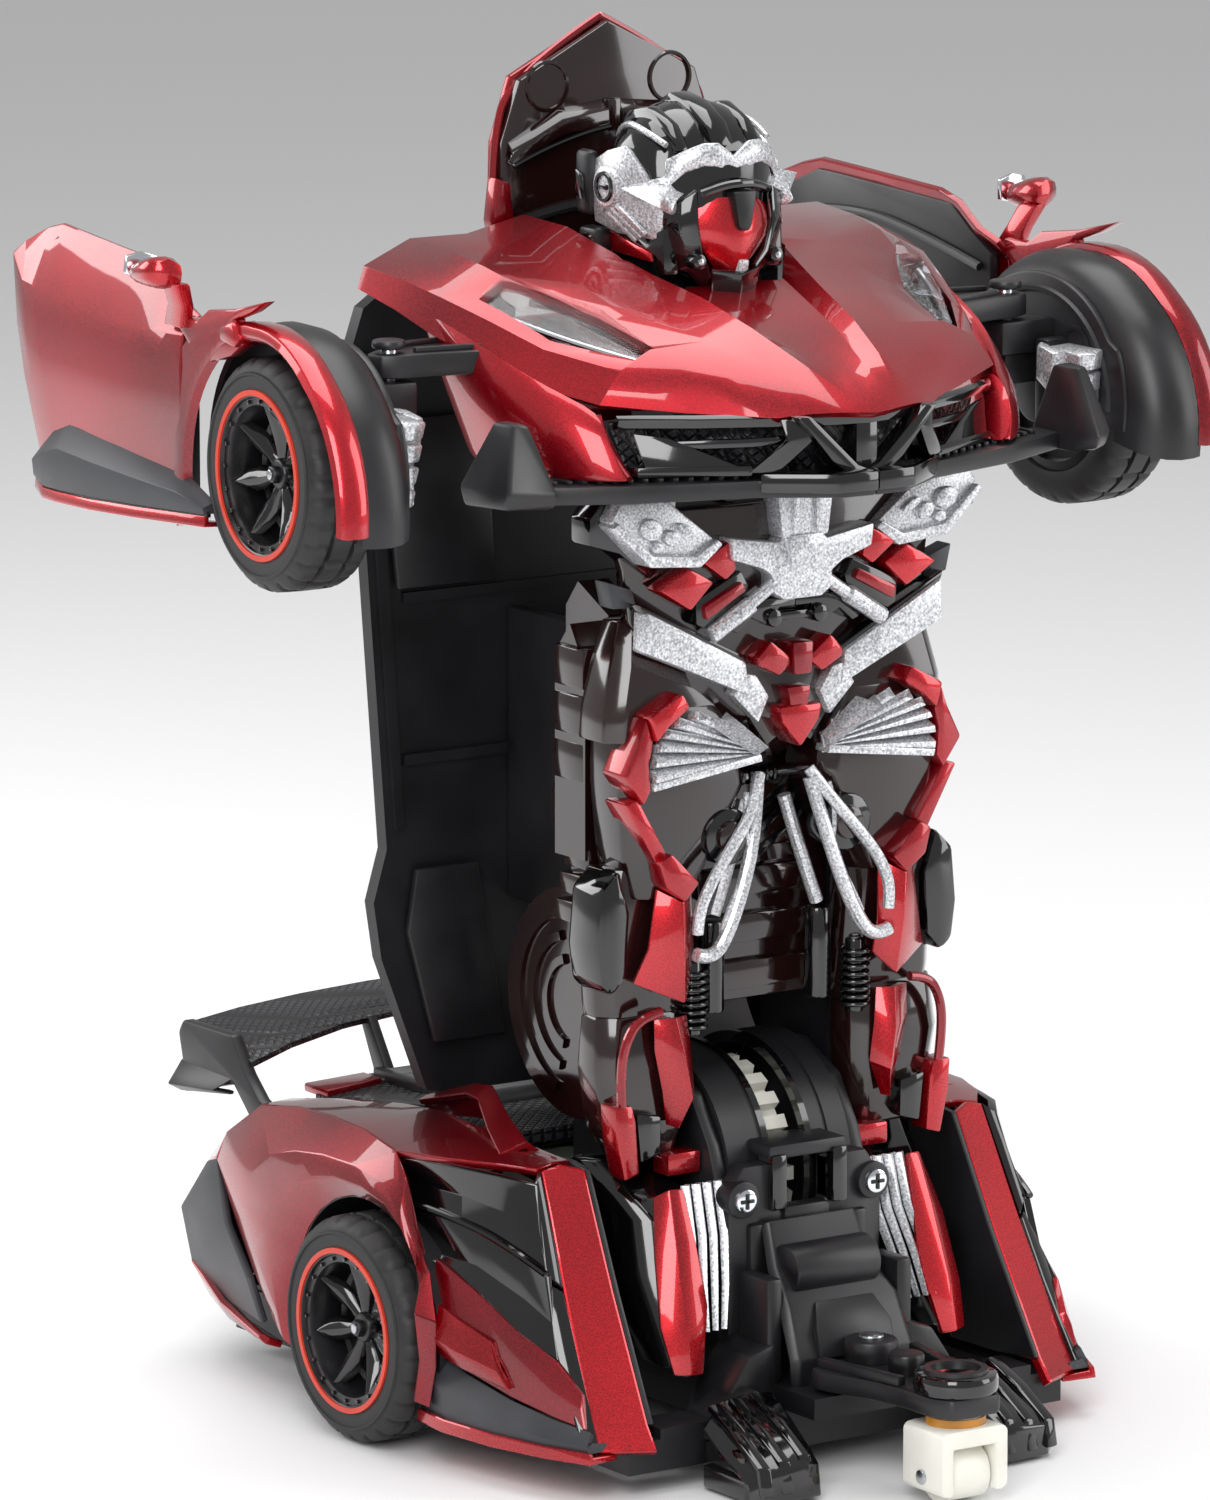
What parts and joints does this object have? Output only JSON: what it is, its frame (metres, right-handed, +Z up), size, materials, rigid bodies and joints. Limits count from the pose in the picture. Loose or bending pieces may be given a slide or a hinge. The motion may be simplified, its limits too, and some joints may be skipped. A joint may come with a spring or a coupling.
{
  "type": "transforming robot car",
  "caption": "Toy car standing as a robot: torso, chest and doors fold on hinges, with wheels, wing, head and a front castor.",
  "frame": {"origin": "on the floor under the middle of the standing robot", "axes": "+Z up, the robot faces -Y, its left arm is at +X"},
  "size_m": [0.2084, 0.1878, 0.263],
  "materials": {
    "red": "candy red metallic lacquer on moulded plastic",
    "black": "satin moulded ABS",
    "gloss": "high gloss dark moulded plastic",
    "silver": "silver paint on moulded plastic",
    "white": "natural acetal",
    "brass": "turned",
    "steel": "plain",
    "cells": "shrink sleeve",
    "board": "solder mask",
    "clear": "clear moulded cover",
    "rim": "satin moulded ABS",
    "tyre": "soft rubber with tread"
  },
  "bodies": {
    "base": {"battery_door": "black", "battery_pack": "cells", "chassis": "black", "circuit_board": "board", "drive_motors": "steel", "feet": "gloss", "fold_motor": "steel", "front_fins": "red", "gearbox_housing": "black", "rear_bumper": "black", "rear_deck": "black", "rear_fender_left": "red", "rear_fender_right": "red", "rear_wing": "black", "screws": "steel", "side_skirts": "black", "toe_block": "black"},
    "torso": {"abdomen_shell": "gloss", "back_panel": "black", "fold_gear": "white", "leg_shell_left": "gloss", "leg_shell_right": "gloss", "lower_shins": "silver", "side_plates": "gloss", "torso_frame": "black"},
    "chest": {"bonnet": "red", "chest_frame": "black", "chest_pin": "steel", "front_bumper": "black", "headlights": "clear"},
    "castor_arm": {"castor_arm": "black"},
    "castor_swivel": {"castor_block": "white"},
    "castor_roller": {"castor_roller": "white"},
    "arm_left": {"door_left": "red", "fist_left": "silver", "mirror_left": "red", "wheel_liner_left": "black"},
    "arm_right": {"door_right": "red", "fist_right": "silver", "mirror_right": "red", "wheel_liner_right": "black"},
    "head": {"face_mask": "red", "helmet": "gloss", "neck": "black"},
    "worm": {"fold_worm": "brass"},
    "front_wheel_left": {"front_rim_left": "rim", "front_tyre_left": "tyre"},
    "front_wheel_right": {"front_rim_right": "rim", "front_tyre_right": "tyre"},
    "switch": {"power_switch": "black"},
    "rear_wheel_left": {"rear_axle_left": "steel", "rear_rim_left": "rim", "rear_tyre_left": "tyre"},
    "rear_wheel_right": {"rear_axle_right": "steel", "rear_rim_right": "rim", "rear_tyre_right": "tyre"},
    "screen": {"screen": "gloss"},
    "strut_left": {"strut_left": "black"},
    "strut_right": {"strut_right": "black"}
  },
  "joints": [
    {"name": "torso_fold", "type": "hinge", "parent": "base", "child": "torso", "pos_m": [0, -0.01, 0.05], "axis": [1, 0, 0], "range_deg": [0, 90]},
    {"name": "chest_level", "type": "hinge", "parent": "torso", "child": "chest", "pos_m": [0, -0.0213, 0.205], "axis": [1, 0, 0], "range_deg": [-90, 0]},
    {"name": "screen_fold", "type": "hinge", "parent": "torso", "child": "screen", "pos_m": [0, 0.03, 0.213], "axis": [1, 0, 0], "range_deg": [0, 25.01]},
    {"name": "head_turn", "type": "hinge", "parent": "chest", "child": "head", "pos_m": [0, -0.001, 0.215], "axis": [0, 0, 1], "range_deg": [-20, 20]},
    {"name": "strut_swing_left", "type": "hinge", "parent": "chest", "child": "strut_left", "pos_m": [0.0448, -0.0098, 0.2065], "axis": [0, 0, 1], "range_deg": [0, 66.01]},
    {"name": "arm_swing_left", "type": "hinge", "parent": "strut_left", "child": "arm_left", "pos_m": [0.07, -0.004, 0.2065], "axis": [0, 0, 1], "range_deg": [-70.01, 0]},
    {"name": "front_wheel_spin_left", "type": "hinge", "parent": "arm_left", "child": "front_wheel_left", "pos_m": [0.08938, -0.00164, 0.1878], "axis": [0.9976, 0.0698, 0], "continuous": true},
    {"name": "rear_wheel_spin_left", "type": "hinge", "parent": "base", "child": "rear_wheel_left", "pos_m": [0.0639, 0.0114, 0.0215], "axis": [1, 0, 0], "continuous": true},
    {"name": "strut_swing_right", "type": "hinge", "parent": "chest", "child": "strut_right", "pos_m": [-0.0448, -0.0098, 0.2065], "axis": [0, 0, 1], "range_deg": [-66.01, 0]},
    {"name": "arm_swing_right", "type": "hinge", "parent": "strut_right", "child": "arm_right", "pos_m": [-0.07, -0.004, 0.2065], "axis": [0, 0, 1], "range_deg": [0, 70.01]},
    {"name": "front_wheel_spin_right", "type": "hinge", "parent": "arm_right", "child": "front_wheel_right", "pos_m": [-0.08938, -0.00164, 0.1878], "axis": [0.9976, -0.0698, 0], "continuous": true},
    {"name": "rear_wheel_spin_right", "type": "hinge", "parent": "base", "child": "rear_wheel_right", "pos_m": [-0.0639, 0.0114, 0.0215], "axis": [1, 0, 0], "continuous": true},
    {"name": "worm_spin", "type": "hinge", "parent": "base", "child": "worm", "pos_m": [0, -0.01, 0.0245], "axis": [0, 1, 0], "range_deg": [-2160, 0]},
    {"name": "castor_arm_swing", "type": "hinge", "parent": "base", "child": "castor_arm", "pos_m": [0, -0.0592, 0.018], "axis": [0, 0, 1], "range_deg": [-10, 10]},
    {"name": "castor_turn", "type": "hinge", "parent": "castor_arm", "child": "castor_swivel", "pos_m": [0, -0.0859, 0.015], "axis": [0, 0, 1], "continuous": true},
    {"name": "castor_roll", "type": "hinge", "parent": "castor_swivel", "child": "castor_roller", "pos_m": [0, -0.0859, 0.0052], "axis": [1, 0, 0], "continuous": true},
    {"name": "switch_slide", "type": "slide", "parent": "base", "child": "switch", "axis": [0, 1, 0], "range_m": [0, 0.003]}
  ],
  "couplings": [
    {"joint": "chest_level", "follows": "torso_fold", "ratio": -1},
    {"joint": "screen_fold", "follows": "torso_fold", "ratio": 0.27778},
    {"joint": "strut_swing_left", "follows": "torso_fold", "ratio": 0.73333},
    {"joint": "strut_swing_right", "follows": "torso_fold", "ratio": -0.73333},
    {"joint": "arm_swing_left", "follows": "torso_fold", "ratio": -0.77778},
    {"joint": "arm_swing_right", "follows": "torso_fold", "ratio": 0.77778},
    {"joint": "worm_spin", "follows": "torso_fold", "ratio": -24}
  ]
}
